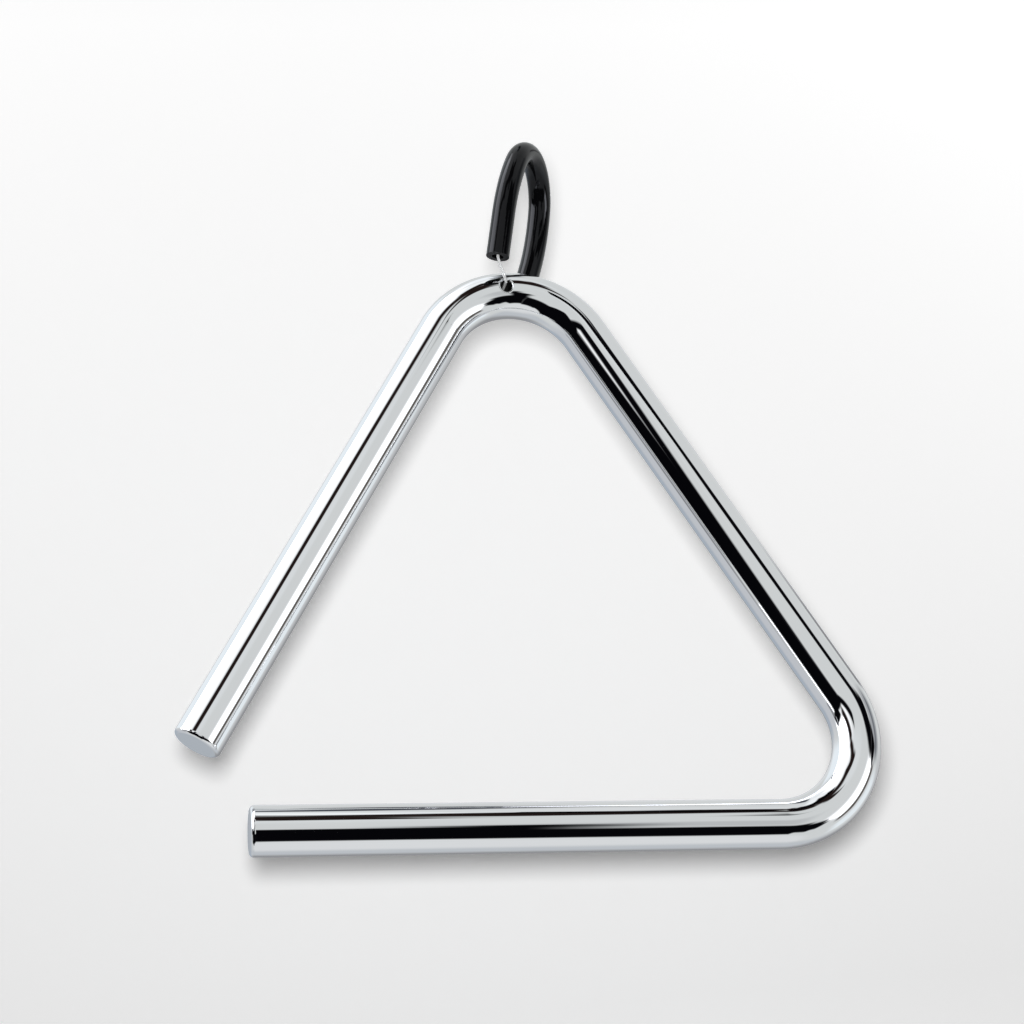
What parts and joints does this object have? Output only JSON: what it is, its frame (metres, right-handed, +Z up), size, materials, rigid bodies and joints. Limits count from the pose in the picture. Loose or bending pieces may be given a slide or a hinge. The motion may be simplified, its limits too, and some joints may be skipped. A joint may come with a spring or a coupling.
{
  "type": "triangle instrument",
  "caption": "Musical triangle of chromed round steel rod with an open corner, struck with a beater, hanging from a clear nylon line in a loop of black plastic tube.",
  "frame": {"origin": "inner top of the hanger loop, where a hook, peg or finger bears", "axes": "+X to the right seen from the front, +Y to the back, +Z up; the rod lies in the XZ plane and hangs at rest"},
  "size_m": [0.1143, 0.02, 0.1297],
  "materials": {
    "chrome_plate": "mirror-bright chrome plate with fine handling marks",
    "black_tube": "glossy soft PVC, knife-cut ends",
    "clear_line": "clear nylon monofilament"
  },
  "bodies": {
    "hanger": {"hanger_tube": "black_tube"},
    "line": {"hanger_line": "clear_line"},
    "rod": {"triangle_rod": "chrome_plate"}
  },
  "joints": [
    {"name": "rod_twist", "type": "hinge", "parent": "hanger", "child": "line", "pos_m": [-0.00835, 0, -0.02429], "axis": [0, 0, 1], "range_deg": [-30, 0], "deforming": ["hanger_line"]},
    {"name": "rod_swing", "type": "hinge", "parent": "line", "child": "rod", "pos_m": [-0.00835, 0, -0.02429], "axis": [0, 1, 0], "range_deg": [-90, 90]}
  ]
}
